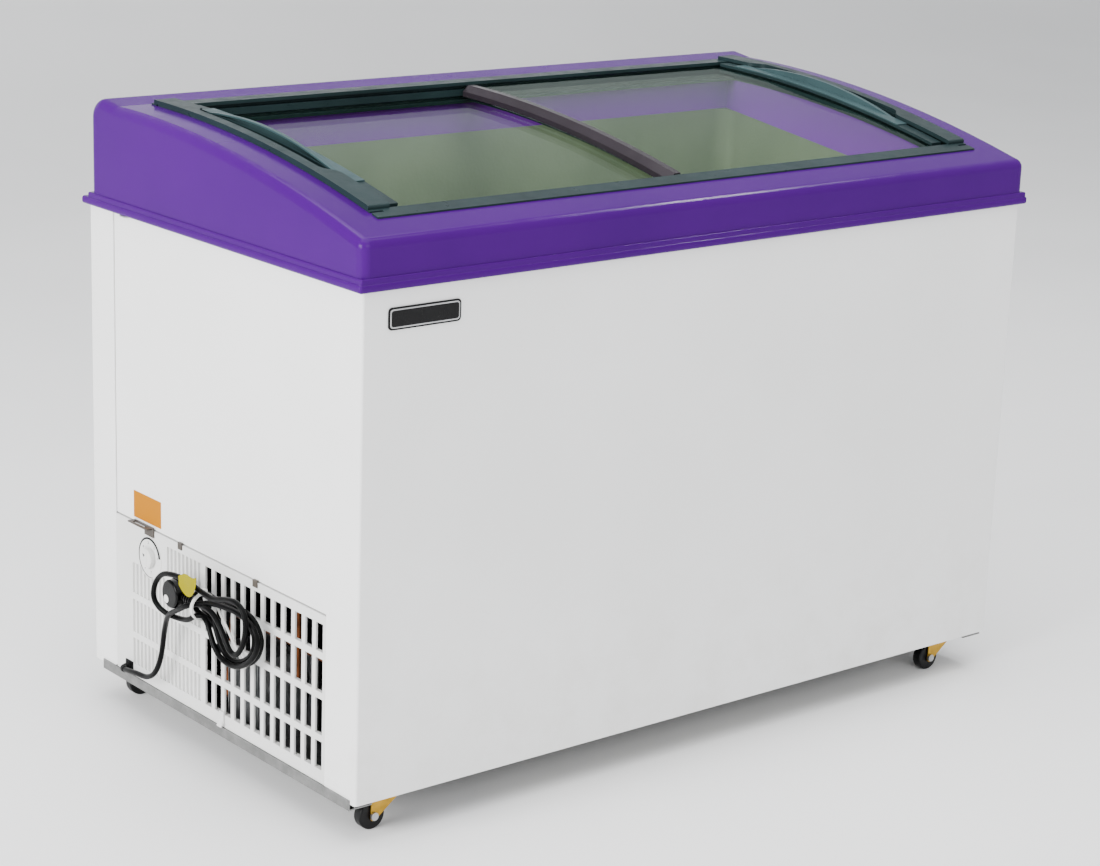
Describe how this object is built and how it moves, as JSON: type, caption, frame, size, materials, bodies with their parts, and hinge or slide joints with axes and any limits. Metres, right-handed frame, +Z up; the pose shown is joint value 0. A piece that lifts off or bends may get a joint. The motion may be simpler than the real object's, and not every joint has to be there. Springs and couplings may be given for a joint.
{
  "type": "chest freezer",
  "caption": "Low chest freezer with two curved sliding glass lids under a moulded surround, a side grille, swivel castors and a tied mains lead.",
  "frame": {"origin": "centre of the footprint of the freezer without its mains lead, on the floor under the castors", "axes": "+Z up, -Y towards the user at the front face, +X along the body away from the compressor end"},
  "size_m": [1.1336, 0.614, 0.7994],
  "materials": {
    "body_white": "satin, pre-painted sheet steel",
    "galvanised": "zinc-coated sheet",
    "liner_grey": "stucco-embossed sheet",
    "foam": "rigid foam, hidden",
    "coil_metal": "drawn tube",
    "purple_plastic": "semi-gloss moulding",
    "lid_frame": "satin moulding",
    "lid_glass": "toughened glass",
    "white_plastic": "satin moulding",
    "grille_white": "satin moulding",
    "dial_print": "printed disc",
    "knob_white": "semi-gloss moulding",
    "black_metal": "semi-gloss enamel",
    "rubber": "matt",
    "fin_metal": "pressed fins",
    "bracket_steel": "zinc plated",
    "motor_black": "matt enamel",
    "fan_plastic": "pressed blade",
    "copper": "drawn copper",
    "label_orange": "blank printed film",
    "badge": "blank plate",
    "latch_metal": "dull zinc",
    "screw": "zinc plated",
    "yellow_zinc": "yellow passivated",
    "wheel_black": "moulded",
    "cord_black": "matt flexible sheath",
    "plug_black": "moulded",
    "tie_white": "moulded nylon",
    "tag_paper": "blank paper tag"
  },
  "bodies": {
    "cabinet": {"front_panel": "body_white", "rear_panel": "body_white", "left_side_panel": "body_white", "right_side_panel": "body_white", "base_pan": "galvanised", "bay_bulkhead": "galvanised", "inner_liner": "liner_grey", "insulation_foam": "foam", "evaporator_coil": "coil_metal", "drain_plug": "white_plastic", "top_surround": "purple_plastic", "front_track_rail": "lid_frame", "rear_track_rail": "lid_frame", "left_side_rail": "lid_frame", "right_side_rail": "lid_frame", "ventilation_grille": "grille_white", "thermostat_scale": "dial_print", "thermostat_body": "white_plastic", "info_label": "label_orange", "badge_plate": "badge", "upper_bracket": "bracket_steel", "grille_latch": "latch_metal", "panel_screws": "screw", "cord_gland": "rubber", "compressor": "black_metal", "compressor_feet": "rubber", "condenser": "fin_metal", "fan_bracket": "bracket_steel", "fan_motor": "motor_black", "filter_drier": "copper", "refrigerant_pipes": "copper", "caster_plates": "bracket_steel", "power_cord": "cord_black", "cord_loop": "cord_black", "cord_hank": "cord_black", "power_plug": "plug_black", "cable_tie": "tie_white", "cord_tag": "tag_paper"},
    "left_lid": {"left_lid_glass": "lid_glass", "left_lid_end_profile": "lid_frame", "left_lid_inner_edge": "lid_frame", "left_lid_handle": "lid_frame"},
    "right_lid": {"right_lid_glass": "lid_glass", "right_lid_end_profile": "lid_frame", "right_lid_skirt": "lid_frame", "right_lid_handle": "lid_frame"},
    "knob": {"thermostat_knob": "knob_white"},
    "fan": {"fan_blade": "fan_plastic"},
    "front_left_fork": {"front_left_caster_fork": "yellow_zinc", "front_left_caster_axle": "screw"},
    "front_left_wheel": {"front_left_caster_wheel": "wheel_black"},
    "front_right_fork": {"front_right_caster_fork": "yellow_zinc", "front_right_caster_axle": "screw"},
    "front_right_wheel": {"front_right_caster_wheel": "wheel_black"},
    "rear_left_fork": {"rear_left_caster_fork": "yellow_zinc", "rear_left_caster_axle": "screw"},
    "rear_left_wheel": {"rear_left_caster_wheel": "wheel_black"},
    "rear_right_fork": {"rear_right_caster_fork": "yellow_zinc", "rear_right_caster_axle": "screw"},
    "rear_right_wheel": {"rear_right_caster_wheel": "wheel_black"}
  },
  "joints": [
    {"name": "left_lid_slide", "type": "slide", "parent": "cabinet", "child": "left_lid", "axis": [1, 0, 0], "range_m": [0, 0.41]},
    {"name": "right_lid_slide", "type": "slide", "parent": "cabinet", "child": "right_lid", "axis": [1, 0, 0], "range_m": [-0.41, 0]},
    {"name": "thermostat_turn", "type": "hinge", "parent": "cabinet", "child": "knob", "pos_m": [-0.54, 0.157, 0.228], "axis": [-1, 0, 0], "range_deg": [-135, 135]},
    {"name": "fan_spin", "type": "hinge", "parent": "cabinet", "child": "fan", "pos_m": [-0.463, -0.043, 0.112], "axis": [1, 0, 0], "continuous": true},
    {"name": "front_left_swivel", "type": "hinge", "parent": "cabinet", "child": "front_left_fork", "pos_m": [-0.477, -0.264, 0.045], "axis": [0, 0, 1], "continuous": true},
    {"name": "front_left_roll", "type": "hinge", "parent": "front_left_fork", "child": "front_left_wheel", "pos_m": [-0.494, -0.264, 0.018], "axis": [0, 1, 0], "continuous": true},
    {"name": "front_right_swivel", "type": "hinge", "parent": "cabinet", "child": "front_right_fork", "pos_m": [0.477, -0.264, 0.045], "axis": [0, 0, 1], "continuous": true},
    {"name": "front_right_roll", "type": "hinge", "parent": "front_right_fork", "child": "front_right_wheel", "pos_m": [0.46, -0.264, 0.018], "axis": [0, 1, 0], "continuous": true},
    {"name": "rear_left_swivel", "type": "hinge", "parent": "cabinet", "child": "rear_left_fork", "pos_m": [-0.477, 0.264, 0.045], "axis": [0, 0, 1], "continuous": true},
    {"name": "rear_left_roll", "type": "hinge", "parent": "rear_left_fork", "child": "rear_left_wheel", "pos_m": [-0.494, 0.264, 0.018], "axis": [0, 1, 0], "continuous": true},
    {"name": "rear_right_swivel", "type": "hinge", "parent": "cabinet", "child": "rear_right_fork", "pos_m": [0.477, 0.264, 0.045], "axis": [0, 0, 1], "continuous": true},
    {"name": "rear_right_roll", "type": "hinge", "parent": "rear_right_fork", "child": "rear_right_wheel", "pos_m": [0.46, 0.264, 0.018], "axis": [0, 1, 0], "continuous": true}
  ]
}
